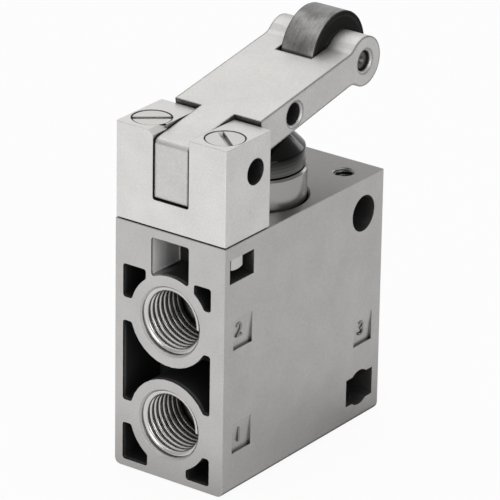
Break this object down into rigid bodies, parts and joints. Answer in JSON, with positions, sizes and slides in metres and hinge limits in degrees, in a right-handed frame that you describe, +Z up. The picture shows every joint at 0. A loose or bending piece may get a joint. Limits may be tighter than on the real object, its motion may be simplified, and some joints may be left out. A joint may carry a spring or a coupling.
{
  "type": "roller lever air valve",
  "caption": "Small die-cast poppet air valve with threaded ports in its front and rear faces, opened by a roller lever that swings in a slotted bracket and presses a sprung plunger.",
  "frame": {"origin": "centre of the housing's flat base", "axes": "+Z up along the plunger, towards the lever; -Y is the face with the outlet and supply ports; +X is the valve's right side seen from that face"},
  "size_m": [0.025, 0.0552, 0.08],
  "materials": {
    "housing_nickel": "satin nickel-plated die casting, fine cast grain",
    "bracket_nickel": "satin nickel-plated die casting, fine cast grain",
    "lever_nickel": "satin nickel-plated die casting with polished edges",
    "screw_steel": "turned, zinc-plated",
    "nut_steel": "zinc-plated",
    "pin_steel": "ground",
    "stem_steel": "ground",
    "spring_steel": "drawn wire and strip",
    "plunger_bright": "polished nickel",
    "cap_dark": "polished, blackened steel",
    "roller_dark": "turned, blackened, satin",
    "bush_brass": "turned",
    "inner_brass": "turned",
    "seal_rubber": "matte black"
  },
  "bodies": {
    "valve_body": {"valve_housing": "housing_nickel", "lever_bracket": "bracket_nickel", "bracket_screw_left": "screw_steel", "bracket_screw_right": "screw_steel", "bracket_nut_left": "nut_steel", "bracket_nut_right": "nut_steel", "lever_pivot_pin": "pin_steel", "retaining_ring": "spring_steel", "guide_bush": "inner_brass", "stem_guide": "inner_brass", "stem_o_ring_upper": "seal_rubber", "stem_o_ring_lower": "seal_rubber", "guide_o_ring": "seal_rubber", "seat_insert": "inner_brass", "seat_o_ring": "seal_rubber", "plunger_spring": "spring_steel", "poppet_spring": "spring_steel"},
    "lever": {"roller_lever": "lever_nickel", "lever_press_pin": "pin_steel", "roller_pin": "pin_steel"},
    "roller_wheel": {"roller": "roller_dark", "roller_bushing": "bush_brass"},
    "plunger": {"plunger_sleeve": "plunger_bright", "plunger_cap": "cap_dark", "plunger_wiper": "seal_rubber", "valve_stem": "stem_steel"},
    "poppet_disc": {"poppet": "inner_brass", "poppet_seal": "seal_rubber"}
  },
  "joints": [
    {"name": "lever_hinge", "type": "hinge", "parent": "valve_body", "child": "lever", "pos_m": [0, -0.0165, 0.06223], "axis": [-1, 0, 0], "range_deg": [0, 11.5], "stiffness_Nm_per_rad": 1.5, "springref_deg": -8.59},
    {"name": "roller_spin", "type": "hinge", "parent": "lever", "child": "roller_wheel", "pos_m": [0, 0.02148, 0.07167], "axis": [1, 0, 0], "continuous": true},
    {"name": "plunger_slide", "type": "slide", "parent": "valve_body", "child": "plunger", "axis": [0, 0, -1], "range_m": [0, 0.00322], "deforming": ["plunger_spring"]},
    {"name": "poppet_slide", "type": "slide", "parent": "valve_body", "child": "poppet_disc", "axis": [0, 0, -1], "range_m": [0, 0.00242], "deforming": ["poppet_spring"]}
  ],
  "couplings": [
    {"joint": "plunger_slide", "follows": "lever_hinge", "m_per_rad": 0.01594},
    {"joint": "poppet_slide", "follows": "lever_hinge", "m_per_rad": 0.011958}
  ]
}
